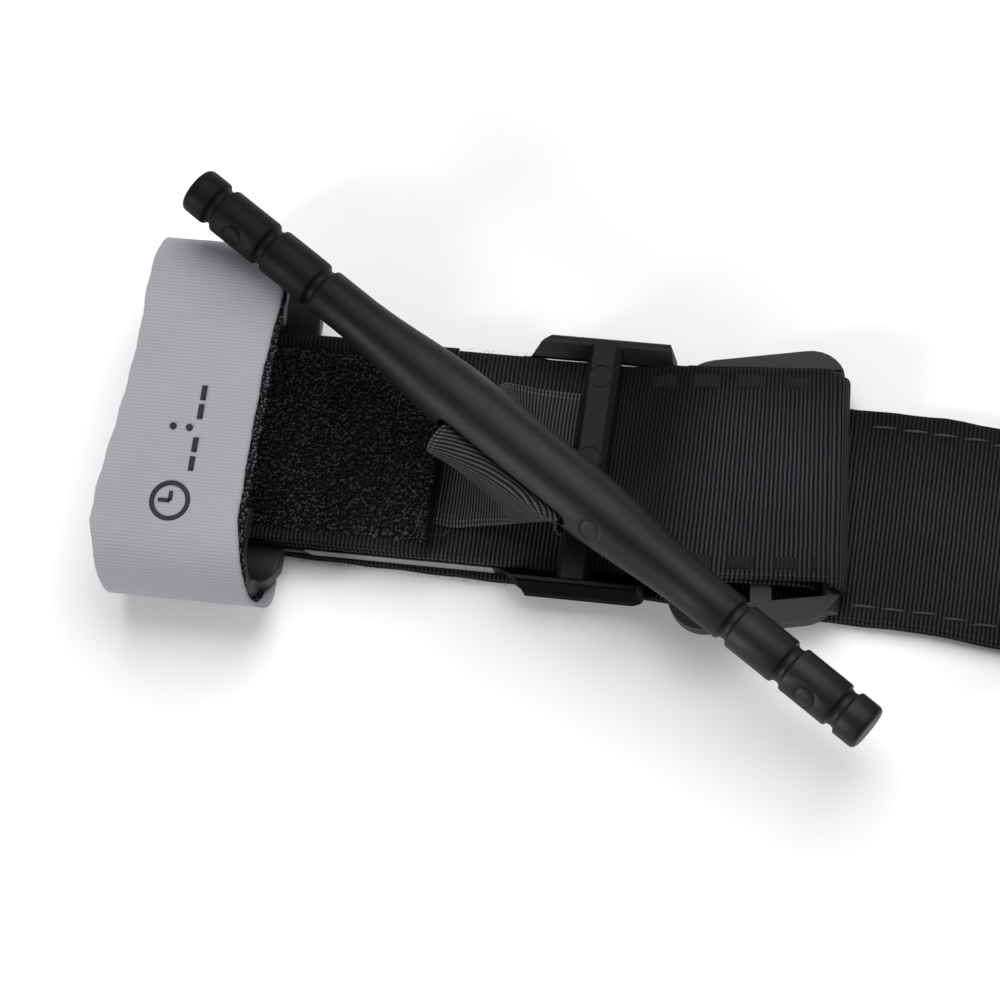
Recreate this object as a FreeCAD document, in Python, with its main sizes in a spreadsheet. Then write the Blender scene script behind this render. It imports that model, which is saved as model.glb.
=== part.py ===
import FreeCAD, Part
import math
import os
import Sketcher

# Windlass tourniquet, lying flat. X runs along the strap, Y across it, Z up.
# All lengths are in millimetres and angles in degrees.
doc = FreeCAD.newDocument("tourniquet")
sheet = doc.addObject("Spreadsheet::Sheet", "sizes")

SIZES = [
    ("band_wide", 38.0, "webbing band, overall width"),
    ("tape_thick", 1.2, "one tape of the band"),
    ("ribbon_wide", 25.0, "inner strap width"),
    ("ribbon_thick", 0.8, "inner strap thickness"),
    ("plate_left", -68.9, "left end of the base plate"),
    ("plate_right", 21.6, "right end of the base plate"),
    ("plate_half", 19.35, "half width of the floor"),
    ("plate_low", 2.4, "underside of the base plate"),
    ("tongue_top", 3.7, "top of the tongue under the clip"),
    ("floor_top", 5.2, "top of the plate floor"),
    ("rail_inner", 19.1, "inner face of the ears"),
    ("ear_left", -2.0, "left end of the ears"),
    ("ear_half", 23.2, "half width over the ears"),
    ("ear_top", 10.4, "top of ears and crossbar"),
    ("bar_left", 7.1, "left side of the crossbar"),
    ("bar_right", 12.9, "right side of the crossbar"),
    ("bar_low", 7.7, "underside of the crossbar"),
    ("window_left", -1.5, "floor window, left"),
    ("window_right", 18.1, "floor window, right"),
    ("window_half", 20.8, "floor window, half width"),
    ("clip_right", -38.4, "right end of the clip saddle"),
    ("clip_arm_right", -45.0, "right side of the arms, upper part"),
    ("arm_end", -42.0, "right end of the arms at their root"),
    ("arm_y", 21.4, "centre of the arm ring from the middle"),
    ("arm_z", 12.2, "height of the arm ring centre"),
    ("arm_inner", 5.9, "inner radius of the arms"),
    ("arm_outer", 8.7, "outer radius of the arms"),
    ("horn_angle", 118.0, "end of the horns round the ring"),
    ("patch_thick", 0.5, "hook patch"),
    ("backing_thick", 0.6, "backing of the grey strap"),
    ("strap_thick", 0.6, "grey strap face"),
    ("strap_left", -72.3, "left edge of the grey strap"),
    ("strap_right", -45.9, "right edge of the grey strap"),
    ("backing_right", -44.8, "right edge of the backing"),
    ("rod_x", 1.1, "windlass centre along the strap"),
    ("rod_y", -3.0, "windlass centre across the strap"),
    ("rod_height", 21.65, "windlass centre height"),
    ("rod_slope", 7.0, "slope of the plane the rod turns in, down to the right"),
    ("rod_turn", -32.2, "rod direction at rest"),
    ("rod_half", 74.5, "half length of the rod"),
    ("rod_end_r", 4.2, "rod radius near the ends"),
    ("rod_mid_r", 5.85, "rod radius in the middle"),
    ("slot_turn", 15.0, "turn of the slot about the rod"),
    ("slot_long", 28.2, "rod slot length"),
    ("slot_high", 3.0, "rod slot height"),
    ("bar_x", 51.6, "buckle bar axis along the strap"),
    ("bar_z", 5.4, "buckle bar axis height"),
    ("bar_r", 1.4, "buckle bar radius"),
    ("buckle_yaw", 6.0, "turn of the buckle in plan"),
    ("buckle_low", 3.3, "underside of the buckle"),
    ("buckle_thick", 3.8, "buckle thickness"),
    ("buckle_long", 48.0, "buckle length across the strap"),
    ("buckle_shift", 1.2, "buckle centre to one side of the band"),
    ("buckle_skew", 0.09, "skew of the frame's long sides in plan"),
    ("buckle_rail", 4.0, "buckle side rail width"),
    ("pack_right", 190.0, "right end of the folded tail"),
    ("pack_left", 92.0, "left end of the folded tail"),
    ("pack_pitch", 3.0, "height of one fold"),
    ("drift_mid", -2.8, "sideways drift of the lower run beside the buckle"),
    ("drift_end", -5.0, "sideways drift of the folded tail"),
]
for row, (alias, value, words) in enumerate(SIZES, start=1):
    sheet.set("A%d" % row, alias)
    sheet.set("B%d" % row, str(value))
    sheet.set("C%d" % row, words)
    sheet.setAlias("B%d" % row, alias)
doc.recompute()


def val(alias):
    return float(sheet.get(alias))


def vec(x, y, z=0.0):
    return FreeCAD.Vector(x, y, z)


# ---------------------------------------------------------------- helpers
def plane_of(body, role):
    for feature in body.Origin.OriginFeatures:
        if feature.Role == role:
            return feature
    raise ValueError(role)


def new_body(name):
    body = doc.addObject("PartDesign::Body", name)
    body.Label = name
    return body


def outline(body, name, role, points, lift=0.0):
    """A closed outline of straight lines in a sketch on one of the body's planes."""
    sketch = body.newObject("Sketcher::SketchObject", name)
    sketch.AttachmentSupport = (plane_of(body, role), [""])
    sketch.MapMode = "FlatFace"
    sketch.AttachmentOffset = FreeCAD.Placement(vec(0, 0, lift), FreeCAD.Rotation())
    count = len(points)
    for i in range(count):
        x0, y0 = points[i]
        x1, y1 = points[(i + 1) % count]
        sketch.addGeometry(Part.LineSegment(vec(x0, y0), vec(x1, y1)), False)
    for i in range(count):
        sketch.addConstraint(Sketcher.Constraint("Coincident", i, 2, (i + 1) % count, 1))
    return sketch


def pad(body, name, sketch, length, midplane=False, reverse=False):
    feature = body.newObject("PartDesign::Pad", name)
    feature.Profile = sketch
    if isinstance(length, str):
        feature.setExpression("Length", length)
    else:
        feature.Length = length
    feature.Midplane = midplane
    feature.Reversed = reverse
    doc.recompute()
    return feature


def pocket(body, name, sketch, length, midplane=False, reverse=False):
    """A pocket whose direction is checked: it has to take material away."""
    before = body.Shape.Volume
    feature = body.newObject("PartDesign::Pocket", name)
    feature.Profile = sketch
    feature.Length = length
    feature.Midplane = midplane
    feature.Reversed = reverse
    doc.recompute()
    if body.Shape.Volume > before - 1e-3:
        feature.Reversed = not reverse
        doc.recompute()
    if body.Shape.Volume > before - 1e-3:
        raise ValueError("%s cuts nothing" % name)
    return feature


def arc(cx, cy, r, start, end, steps):
    """Points on an arc, in degrees."""
    points = []
    for i in range(steps + 1):
        a = math.radians(start + (end - start) * i / steps)
        points.append((cx + r * math.cos(a), cy + r * math.sin(a)))
    return points


def offset(path, distance):
    """The path moved sideways, to the left of its direction of travel."""
    moved = []
    count = len(path)
    for i in range(count):
        ax, ay = path[max(i - 1, 0)]
        bx, by = path[i]
        cx, cy = path[min(i + 1, count - 1)]
        u = vec(bx - ax, by - ay)
        v = vec(cx - bx, cy - by)
        if u.Length < 1e-9:
            u = v
        if v.Length < 1e-9:
            v = u
        u.normalize()
        v.normalize()
        nu = vec(-u.y, u.x)
        nv = vec(-v.y, v.x)
        mid = nu + nv
        mid.normalize()
        grow = distance / max(mid.dot(nu), 0.5)
        moved.append((bx + mid.x * grow, by + mid.y * grow))
    return moved


def strip(path, low, high):
    """The closed outline between two offsets of a path."""
    return offset(path, low) + list(reversed(offset(path, high)))


def wire(points3):
    return Part.makePolygon(points3 + [points3[0]])


def loft(sections):
    return Part.makeLoft([wire(s) for s in sections], True, True)


def quad(a, b, c, d):
    """One face with four corners, flat or slightly twisted."""
    normal = (b - a).cross(c - a)
    if normal.Length > 1e-9 and abs(normal.dot(d - a)) / normal.Length < 1e-7:
        return Part.Face(Part.makePolygon([a, b, c, d, a]))
    lower = Part.makeLine(a, b)
    upper = Part.makeLine(d, c)
    return Part.makeRuledSurface(lower, upper)


def tape_solid(side_a, side_b):
    """A tape between two rows of corners; each side is (near row, far row)."""
    (an, af), (bn, bf) = side_a, side_b
    faces = []
    for i in range(len(an) - 1):
        faces.append(quad(an[i], an[i + 1], af[i + 1], af[i]))
        faces.append(quad(bn[i], bn[i + 1], bf[i + 1], bf[i]))
        faces.append(quad(an[i], an[i + 1], bn[i + 1], bn[i]))
        faces.append(quad(af[i], af[i + 1], bf[i + 1], bf[i]))
    for i in (0, -1):
        faces.append(quad(an[i], af[i], bf[i], bn[i]))
    skin = Part.makeShell(faces)
    skin.sewShape()
    solid = Part.makeSolid(Part.Shell(skin.Faces))
    if solid.Volume < 0:
        solid.reverse()
    return solid


def fixed(name, shape):
    """A lofted or grouped shape, which no body feature makes."""
    feature = doc.addObject("Part::Feature", name)
    feature.Label = name
    feature.Shape = shape
    return feature


NODES = []


def node(feature):
    NODES.append(feature)
    return feature


BAND = val("band_wide") / 2
TAPE = val("tape_thick")
LOW = val("plate_low")
FLOOR = val("floor_top")
EAR_TOP = val("ear_top")

# ---------------------------------------------------------------- base plate
plate = new_body("base_plate")
left = val("plate_left")
right = val("plate_right")
half = val("plate_half")
rail_in = val("rail_inner")
ear_l = val("ear_left")
ear_h = val("ear_half")


def mirrored(points):
    return [(x, -y) for x, y in reversed(points)]


upper = [(left, 0.0), (left, rail_in - 3.0)]
upper += arc(left + 3.0, rail_in - 3.0, 3.0, 180, 90, 6)[1:]
upper += [(val("clip_right"), rail_in), (val("clip_right") + 1.0, half), (right - 3.0, half)]
upper += arc(right - 3.0, half - 3.0, 3.0, 90, 0, 6)[1:]
whole = upper + mirrored(upper)[:-1]
s = outline(plate, "plate_outline", "XY_Plane", whole, LOW)
pad(plate, "plate_tongue", s, "sizes.tongue_top - sizes.plate_low")

x0 = val("clip_right") + 0.1
s = outline(plate, "floor_outline", "XY_Plane",
            [(x0, -half), (right - 2.0, -half), (right, -half + 2.0),
             (right, half - 2.0), (right - 2.0, half), (x0, half)], val("tongue_top"))
pad(plate, "plate_floor", s, "sizes.floor_top - sizes.tongue_top")

# the ears are drawn across the strap, so that their outer faces can lean in
for side, sign in (("far", 1), ("near", -1)):
    ear = [
        (sign * rail_in, LOW),
        (sign * (ear_h - 1.2), LOW),
        (sign * ear_h, LOW + 1.4),
        (sign * ear_h, EAR_TOP - 4.0),
        (sign * (ear_h - 1.0), EAR_TOP - 0.4),
        (sign * (ear_h - 1.3), EAR_TOP),
        (sign * (ear_h - 1.9), EAR_TOP),
        (sign * (ear_h - 2.3), EAR_TOP - 0.5),
        (sign * (rail_in + 0.4), FLOOR + 0.6),
        (sign * rail_in, FLOOR),
    ]
    s = outline(plate, "ear_outline_" + side, "YZ_Plane", ear, ear_l - 3.0)
    pad(plate, "ear_" + side, s, "sizes.plate_right - sizes.ear_left + 3")

bar_l = val("bar_left")
bar_r_x = val("bar_right")
bar = [(bar_l, -EAR_TOP + 1.0), (bar_l, -val("bar_low")), (bar_r_x, -val("bar_low")),
       (bar_r_x, -EAR_TOP + 1.0), (bar_r_x - 1.0, -EAR_TOP), (bar_l + 1.0, -EAR_TOP)]
bar = [(x, -z) for x, z in bar]
s = outline(plate, "bar_outline", "XZ_Plane", bar)
pad(plate, "crossbar", s, "2 * sizes.rail_inner + 4.0", midplane=True)

win_h = val("window_half")
win = [(val("window_left"), -win_h), (val("window_right"), -win_h),
       (val("window_right"), win_h), (val("window_left"), win_h)]
s = outline(plate, "window_outline", "XY_Plane", win, FLOOR + 0.2)
pocket(plate, "floor_window", s, FLOOR - LOW + 1.0)

# what lies outside the ears' rounded plan is cut away
for side, sign in (("far", 1), ("near", -1)):
    cut_left = [(ear_l - 3.2, sign * (half + 0.01)), (ear_l - 1.7, sign * (half + 0.01)),
                (ear_l + 2.1, sign * (ear_h - 1.4)), (ear_l + 3.4, sign * (ear_h + 0.3)),
                (ear_l - 3.2, sign * (ear_h + 0.3))]
    s = outline(plate, "ear_left_cut_" + side, "XY_Plane", cut_left, EAR_TOP + 1.0)
    pocket(plate, "ear_left_" + side, s, EAR_TOP)
    corner = [(x, sign * y) for x, y in arc(right - 2.2, ear_h - 2.2, 2.2, 90, 0, 8)]
    corner += [(right + 0.5, sign * (ear_h - 2.2)), (right + 0.5, sign * (ear_h + 0.5)),
               (right - 2.2, sign * (ear_h + 0.5))]
    s = outline(plate, "ear_right_cut_" + side, "XY_Plane", corner, EAR_TOP + 1.0)
    pocket(plate, "ear_right_" + side, s, EAR_TOP)

# shallow round marks on top of the crossbar
marks = doc.addObject("Part::Compound", "bar_marks")
rings = []
for i, y in enumerate((15.2, 0.4, -13.6)):
    outer = doc.addObject("Part::Cylinder", "bar_mark_outer_%d" % i)
    outer.Radius = 2.1
    outer.Height = 0.4
    outer.Placement.Base = vec((bar_l + bar_r_x) / 2, y, EAR_TOP - 0.18)
    inner = doc.addObject("Part::Cylinder", "bar_mark_inner_%d" % i)
    inner.Radius = 1.85
    inner.Height = 0.6
    inner.Placement.Base = vec((bar_l + bar_r_x) / 2, y, EAR_TOP - 0.28)
    ring = doc.addObject("Part::Cut", "bar_mark_%d" % i)
    ring.Base = outer
    ring.Tool = inner
    rings.append(ring)
marks.Links = rings
base_plate = doc.addObject("Part::Cut", "base_plate_marked")
base_plate.Base = plate
base_plate.Tool = marks
plate.Label = "base_plate_body"
base_plate.Label = "base_plate"
node(base_plate)

# ---------------------------------------------------------------- windlass clip
clip = new_body("windlass_clip")
ay = val("arm_y")
az = val("arm_z")
ri = val("arm_inner")
ro = val("arm_outer")
horn = val("horn_angle")
tongue = val("tongue_top")
far = [(0.0, tongue), (rail_in + 0.2, tongue)]
far += [(rail_in + 0.6, az - ro + 0.35), (ay, az - ro)]
far += arc(ay, az, ro, -90, horn, 26)[1:]
tip_r = (ro - ri) / 2
tip_a = math.radians(horn)
tip_c = (ay + (ri + tip_r) * math.cos(tip_a), az + (ri + tip_r) * math.sin(tip_a))
far += arc(tip_c[0], tip_c[1], tip_r, horn, horn + 180, 8)[1:-1]
far += arc(ay, az, ri, horn, -78, 26)
far += [(rail_in + 0.9, FLOOR + 0.35), (rail_in + 0.2, FLOOR), (0.0, FLOOR)]
profile = far + [(-y, z) for y, z in reversed(far)][1:-1]
s = outline(clip, "clip_profile", "YZ_Plane", profile, left)
pad(clip, "clip_saddle", s, "sizes.clip_right - sizes.plate_left")
cr = val("clip_right")
ca = val("clip_arm_right")
flare = [(cr + 0.5, FLOOR + 1.0), (cr - 0.6, FLOOR + 1.0), (cr - 1.6, FLOOR + 1.5)]
flare += [(cr - 2.9, FLOOR + 2.8), (cr - 4.4, FLOOR + 4.6), (ca + 0.9, FLOOR + 6.3)]
flare += [(ca, FLOOR + 8.4), (ca, az + ro + 1.0), (cr + 0.5, az + ro + 1.0)]
s = outline(clip, "flare_outline", "XZ_Plane", flare)
pocket(clip, "arm_flare", s, 80.0, midplane=True)
ae = val("arm_end")
for side, sign in (("far", 1), ("near", -1)):
    end = [(cr + 1.0, sign * (rail_in + 0.4)), (ae, sign * (rail_in + 0.4)), (ae - 0.1, sign * 23.4),
           (ae - 1.5, sign * 26.6), (ca + 0.2, sign * 27.8), (ca, sign * 31.0), (cr + 1.0, sign * 31.0)]
    s = outline(clip, "arm_end_outline_" + side, "XY_Plane", end, az + ro + 1.0)
    pocket(clip, "arm_end_" + side, s, az + ro + 1.0 - LOW + 0.5)
node(clip)

# ---------------------------------------------------------------- hook patches and grey strap
pt = val("patch_thick")
bt = val("backing_thick")
st = val("strap_thick")
gap = 0.05
r_patch = ro + pt
r_back = r_patch + gap + bt
r_strap = r_back + st


def ring_strip(r_in, r_out, a0, a1, steps):
    return arc(ay, az, r_in, a0, a1, steps) + arc(ay, az, r_out, a1, a0, steps)


def cross_body(name, points, x_left, x_right_alias, x_left_alias=None):
    """A thin strip drawn across the strap and padded along X."""
    body = new_body(name)
    sk = outline(body, name + "_outline", "YZ_Plane", points, x_left)
    start = x_left_alias or ("%.3f" % x_left)
    pad(body, name + "_pad", sk, "sizes.%s - (%s)" % (x_right_alias, start))
    return node(body)


def flip(points):
    return [(-y, z) for y, z in reversed(points)]


far_patch = ring_strip(ro + 0.02, r_patch, 10, 104, 14)
cross_body("clip_hook_far", far_patch, left, "clip_arm_right")
cross_body("clip_hook_near", flip(far_patch), left, "clip_arm_right")

sl = val("strap_left")
anchor_low = -42.0
# fixed part of the strap, on the outside of the far arm, up to the hinge line
anchor_back = ring_strip(r_patch + gap, r_back, anchor_low, 88.5, 18)
cross_body("strap_anchor_backing", anchor_back, sl, "backing_right", "sizes.strap_left")
anchor_face = ring_strip(r_back, r_strap, anchor_low, 88.5, 18)
cross_body("strap_anchor", anchor_face, sl, "strap_right", "sizes.strap_left")


# moving part: straight over the opening, then down round the near arm
def flap(r_in, r_out):
    inner = [(ay - 0.3, az + r_in)] + flip(arc(ay, az, r_in, -52, 90, 20))
    outer = [(ay - 0.3, az + r_out)] + flip(arc(ay, az, r_out, -52, 90, 20))
    return inner + list(reversed(outer))


cross_body("time_strap_backing", flap(r_patch + gap, r_back), sl, "backing_right",
           "sizes.strap_left")
cross_body("time_strap", flap(r_back, r_strap), sl, "strap_right", "sizes.strap_left")

# anchor stitching, two rows of thread on the far arm's outside
stitches = []
for k, angle in enumerate((-12.0, -26.0)):
    for i in range(5):
        a = math.radians(angle)
        cx = sl + 3.2 + 5.0 * i
        box = Part.makeBox(3.6, 0.5, 0.25, vec(0, -0.25, 0.0))
        box.rotate(vec(0, 0, 0), vec(1, 0, 0), angle - 90)
        box.translate(vec(cx, ay + r_strap * math.cos(a), az + r_strap * math.sin(a)))
        stitches.append(box)
node(fixed("strap_anchor_stitch", Part.makeCompound(stitches)))

# ---------------------------------------------------------------- windlass rod
rod = new_body("windlass_rod_body")
half_l = val("rod_half")
re = val("rod_end_r")
rm = val("rod_mid_r")


def barrel(s_pos):
    """Rod radius: straight ends, an eased swelling, a straight middle."""
    s_abs = abs(s_pos)
    if s_abs >= 38.0:
        return re
    if s_abs <= 13.0:
        return rm
    t = (38.0 - s_abs) / 25.0
    return re + (rm - re) * (3 * t * t - 2 * t * t * t)


GROOVES = (46.0, 57.5, 69.0)
GROOVE_HALF = 0.95
GROOVE_DEEP = 0.75
right_side = [(0.0, rm), (13.0, rm)]
for i in range(1, 13):
    x = 13.0 + 25.0 * i / 12
    right_side.append((x, barrel(x)))
for g in GROOVES:
    right_side += [(g - GROOVE_HALF - 0.35, re), (g - GROOVE_HALF, re - 0.12)]
    for i in range(1, 8):
        a = math.pi * i / 8
        x = g - GROOVE_HALF * math.cos(a)
        right_side.append((x, re - 0.12 - (GROOVE_DEEP - 0.12) * math.sin(a)))
    right_side += [(g + GROOVE_HALF, re - 0.12), (g + GROOVE_HALF + 0.35, re)]
right_side += [(half_l - 0.9, re), (half_l - 0.45, re - 0.12), (half_l - 0.15, re - 0.4),
               (half_l, re - 0.85), (half_l, 0.0)]
left_side = [(-x, r) for x, r in reversed(right_side[1:])]
profile = left_side + right_side
s = outline(rod, "rod_profile", "XZ_Plane", profile)
spin = rod.newObject("PartDesign::Revolution", "rod_turned")
spin.Profile = s
spin.ReferenceAxis = (plane_of(rod, "X_Axis"), [""])
spin.Angle = 360.0
doc.recompute()
sh = val("slot_high") / 2
sw = val("slot_long") / 2
slot = [(-sw + sh, -sh), (sw - sh, -sh)] + arc(sw - sh, 0, sh, -90, 90, 8)[1:]
slot += [(-sw + sh, sh)] + arc(-sw + sh, 0, sh, 90, 270, 8)[1:-1]
slot = [(x - 0.6, z) for x, z in slot]
s = outline(rod, "slot_outline", "XZ_Plane", slot)
s.AttachmentOffset = FreeCAD.Placement(
    vec(0, 0, 0), FreeCAD.Rotation(vec(1, 0, 0), -val("slot_turn")))
pocket(rod, "rod_slot", s, 30.0, midplane=True)
LEAN = FreeCAD.Rotation(vec(0, 1, 0), val("rod_slope"))
ROD_PLACE = FreeCAD.Placement(vec(val("rod_x"), val("rod_y"), val("rod_height")),
                              LEAN.multiply(FreeCAD.Rotation(vec(0, 0, 1), val("rod_turn"))))
# shallow round marks on the flank and near the ends
rings = []
for i, (s_pos, lean) in enumerate(((-63.3, 52.0), (63.3, 52.0), (17.9, 50.0))):
    r_here = barrel(s_pos)
    outer = doc.addObject("Part::Cylinder", "rod_mark_outer_%d" % i)
    outer.Radius = 1.9
    outer.Height = r_here + 1.0
    inner = doc.addObject("Part::Cylinder", "rod_mark_inner_%d" % i)
    inner.Radius = 1.75
    inner.Height = r_here + 2.0
    turn = FreeCAD.Rotation(vec(1, 0, 0), lean)
    outer.Placement = FreeCAD.Placement(vec(s_pos, 0, 0), turn)
    inner.Placement = FreeCAD.Placement(vec(s_pos, 0, 0), turn)
    core = doc.addObject("Part::Cylinder", "rod_mark_core_%d" % i)
    core.Radius = r_here - 0.14
    core.Height = 6.0
    core.Placement = FreeCAD.Placement(vec(s_pos - 3.0, 0, 0), FreeCAD.Rotation(vec(0, 1, 0), 90))
    tube = doc.addObject("Part::Cut", "rod_mark_tube_%d" % i)
    tube.Base = outer
    tube.Tool = inner
    ring = doc.addObject("Part::Cut", "rod_mark_%d" % i)
    ring.Base = tube
    ring.Tool = core
    rings.append(ring)
rod_marks = doc.addObject("Part::Compound", "rod_marks")
rod_marks.Links = rings
windlass_rod = doc.addObject("Part::Cut", "windlass_rod_marked")
windlass_rod.Base = rod
windlass_rod.Tool = rod_marks
windlass_rod.Placement = ROD_PLACE
windlass_rod.Label = "windlass_rod"
node(windlass_rod)

# ---------------------------------------------------------------- inner strap
rw = val("ribbon_wide") / 2
rt = val("ribbon_thick")
ribbon_low = FLOOR + TAPE
# the fold rides in the rod's slot: drawn across the rod, in the rod's own frame
flank = rm + 0.25
fold_low = -rm - 0.05
lay = flank + rt / 2
fold_mid = [(-lay, fold_low), (-lay - 0.05, -0.6), (-lay, 1.0), (-lay + 0.35, 1.75), (-5.4, 1.45)]
fold_mid += [(5.4, -1.45), (6.1, -1.85), (lay - 0.05, -2.9), (lay, fold_low)]
fold_ring = strip(fold_mid, -rt / 2, rt / 2)
ends = []
for s_pos in (-rw, rw):
    ends.append([ROD_PLACE.multVec(vec(s_pos, p, q)) for p, q in fold_ring])
node(fixed("inner_strap_fold", loft(ends)))

leg_top = fold_low - 0.45


def section(cx, cy, cz, angle, tilt_dir, thick):
    """A thin rectangle: wide along angle, thick along tilt_dir."""
    a = math.radians(angle)
    w = vec(math.cos(a), math.sin(a)) * rw
    t = FreeCAD.Vector(*tilt_dir)
    t.normalize()
    t = t * (thick / 2)
    c = vec(cx, cy, cz)
    return [c - w - t, c + w - t, c + w + t, c - w + t]


def top_section(side):
    """The end of a leg, just under the turning rod, in the rod's frame."""
    p = side * (flank + rt / 2)
    corners = [(rw, p - side * rt / 2), (-rw, p - side * rt / 2),
               (-rw, p + side * rt / 2), (rw, p + side * rt / 2)]
    return [ROD_PLACE.multVec(vec(a, b, leg_top)) for a, b in corners]


mid_z = ribbon_low + rt / 2
lean = 180 + val("rod_turn")
left_leg = [
    section(-60.0, 0, mid_z, 90, (0, 0, 1), rt),
    section(-15.8, 0, mid_z, 90, (0, 0, 1), rt),
    section(-14.0, -0.6, mid_z + 0.9, 95, (-0.4, 0, 1), rt),
    section(-10.4, -2.8, mid_z + 3.2, 110, (-0.8, -0.2, 0.8), rt),
    section(-6.2, -5.8, mid_z + 6.0, 130, (-0.9, -0.5, 0.5), rt),
    top_section(-1),
]
node(fixed("inner_strap_left", loft(left_leg)))
right_leg = [
    section(17.0, 0, mid_z, 90, (0, 0, 1), rt),
    section(6.5, 0, mid_z, 90, (0, 0, 1), rt),
    section(5.1, 0.2, mid_z + 1.2, 94, (0.8, 0, 0.6), rt),
    section(4.5, 1.0, mid_z + 3.4, 112, (1, 0.2, 0.2), rt),
    section(4.4, 1.7, mid_z + 6.0, 130, (0.9, 0.5, 0.05), rt),
    top_section(1),
]
node(fixed("inner_strap_right", loft(right_leg)))

# ---------------------------------------------------------------- band tapes
pitch = val("pack_pitch")
seam = FLOOR + TAPE
turn_r = (seam - TAPE) / 2
bx = val("bar_x")
bz = val("bar_z")
yaw = math.radians(val("buckle_yaw"))
wrap = val("bar_r") + 0.15 + TAPE / 2


def down_and_back():
    """The common seam of both tapes: left fold, lower run and the folded tail."""
    path = [(left + 2.0, seam), (left - 0.5, seam)]
    path += arc(left - 0.5, seam - turn_r, turn_r, 90, 270, 14)[1:]
    path += [(x, TAPE) for x in (-40.0, -10.0, 25.0, 50.0, 62.0, 70.0, 76.0, 82.0, 88.0)]
    z = TAPE
    p_r = val("pack_right") - pitch / 2 - TAPE
    p_l = val("pack_left") + pitch / 2 + TAPE
    for k in range(5):
        if k % 2 == 0:
            path.append((p_r, z))
            path += arc(p_r, z + pitch / 2, pitch / 2, -90, 90, 10)[1:]
        else:
            path.append((p_l, z))
            path += arc(p_l, z + pitch / 2, pitch / 2, 270, 90, 10)[1:]
        z += pitch
    path.append((p_l + 4.0, z))
    return path


# the lining's centre line round the buckle bar, measured from the bar's axis
loop_low = seam + 0.9 + TAPE / 2
loop_high = loop_low + TAPE + 0.02
end_path = [(-26.0, loop_low), (-7.5, loop_low), (-5.0, loop_low - 0.3), (-3.5, loop_low - 1.1)]
end_path += [(x, z) for x, z in arc(0, bz, wrap, 172, 360, 18)]
end_path += arc(0, bz, wrap, 8, 28, 2)
end_path += [(1.45, bz + 2.3), (0.7, loop_high - 0.35), (-0.6, loop_high), (-3.5, loop_high)]
end_path += [(-27.5, loop_high), (-29.0, loop_high - 0.25), (-33.0, seam - TAPE / 2 + 0.3)]
end_path += [(-34.5, seam - TAPE / 2)]
lining_mid = [(bx + x, z) for x, z in end_path]
lining_seam = offset(lining_mid, -TAPE / 2)
lining_far = offset(lining_mid, TAPE / 2)
tail = down_and_back()
lining_right = lining_seam + tail
lining_left = lining_far + offset(tail, TAPE)


DRIFT = ((left, 0.0), (50.0, val("drift_mid")), (70.0, val("drift_mid") - 0.3),
         (82.0, val("drift_end") + 0.5), (88.0, val("drift_end")), (400.0, val("drift_end")))


def drift(x):
    """How far the lower run has moved sideways at a place along the strap."""
    for (xa, ya), (xb, yb) in zip(DRIFT, DRIFT[1:]):
        if x <= xb:
            return ya + (yb - ya) * max(x - xa, 0.0) / (xb - xa)
    return DRIFT[-1][1]


def sheared(points, y):
    """Outline at a place across the band; the end loop is turned in plan."""
    moved = []
    for x, z in points:
        if x < 70 and z > 2.5:
            share = min(max((x - 24.0) / (bx - 26.0), 0.0), 1.0)
            moved.append(vec(x - y * math.tan(yaw) * share, y + val("buckle_shift") * share, z))
        else:
            moved.append(vec(x, y + drift(x), z))
    return moved




def laid(points):
    """The near and far rows of corners of one side of a tape."""
    return sheared(points, -BAND), sheared(points, BAND)


node(fixed("band_lining", tape_solid(laid(lining_right), laid(lining_left))))

face_top = seam + rt + 0.05
face_path = [(-16.0, face_top), (-61.0, face_top), (-65.2, seam), (left + 2.0, seam)]
face_path = face_path[:-1] + down_and_back()
node(fixed("band_face", tape_solid(laid(face_path), laid(offset(face_path, -TAPE)))))

# sewn end tab on the last pass of the folded tail
tab = doc.addObject("Part::Box", "tail_end_tab")
tab.Label = "tail_end_tab"
tab.Length = 22.0
tab.setExpression("Width", "sizes.band_wide")
tab.Height = 0.6
last_z = TAPE + 5 * pitch
tab.Placement.Base = vec(val("pack_left") + 6.0, drift(120.0) - BAND, last_z + TAPE)
node(tab)

# ---------------------------------------------------------------- buckle
buckle = new_body("buckle")
bl = val("buckle_long") / 2
back = -27.6
front = 2.4
low = val("buckle_low")
corner = 7.0
quarter = arc(back + corner, bl - corner, corner, 180, 90, 8)
quarter += arc(front - corner, bl - corner, corner, 90, 0, 8)
shift = val("buckle_shift")
skew = val("buckle_skew")
frame = [(x, y + shift + skew * x) for x, y in quarter + mirrored(quarter)]
s = outline(buckle, "frame_outline", "XY_Plane", frame, low)
pad(buckle, "frame", s, "sizes.buckle_thick")
inner = bl - val("buckle_rail")
thick = val("buckle_thick")


def opening(name, x_low, x_high):
    sk = outline(buckle, name + "_outline", "XY_Plane",
                 [(x_low, shift - inner + skew * x_low), (x_high, shift - inner + skew * x_high),
                  (x_high, shift + inner + skew * x_high), (x_low, shift + inner + skew * x_low)],
                 low + thick + 0.5)
    pocket(buckle, name, sk, thick + 1.0)


opening("slot_band", -22.6, -13.4)
opening("slot_loop", -9.8, front + 1.0)
s = buckle.newObject("Sketcher::SketchObject", "bar_round")
s.AttachmentSupport = (plane_of(buckle, "XZ_Plane"), [""])
s.MapMode = "FlatFace"
s.addGeometry(Part.Circle(vec(0, bz), vec(0, 0, 1), val("bar_r")), False)
pad(buckle, "loop_bar", s, 2 * (inner + shift) + 0.6, midplane=True)
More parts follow.
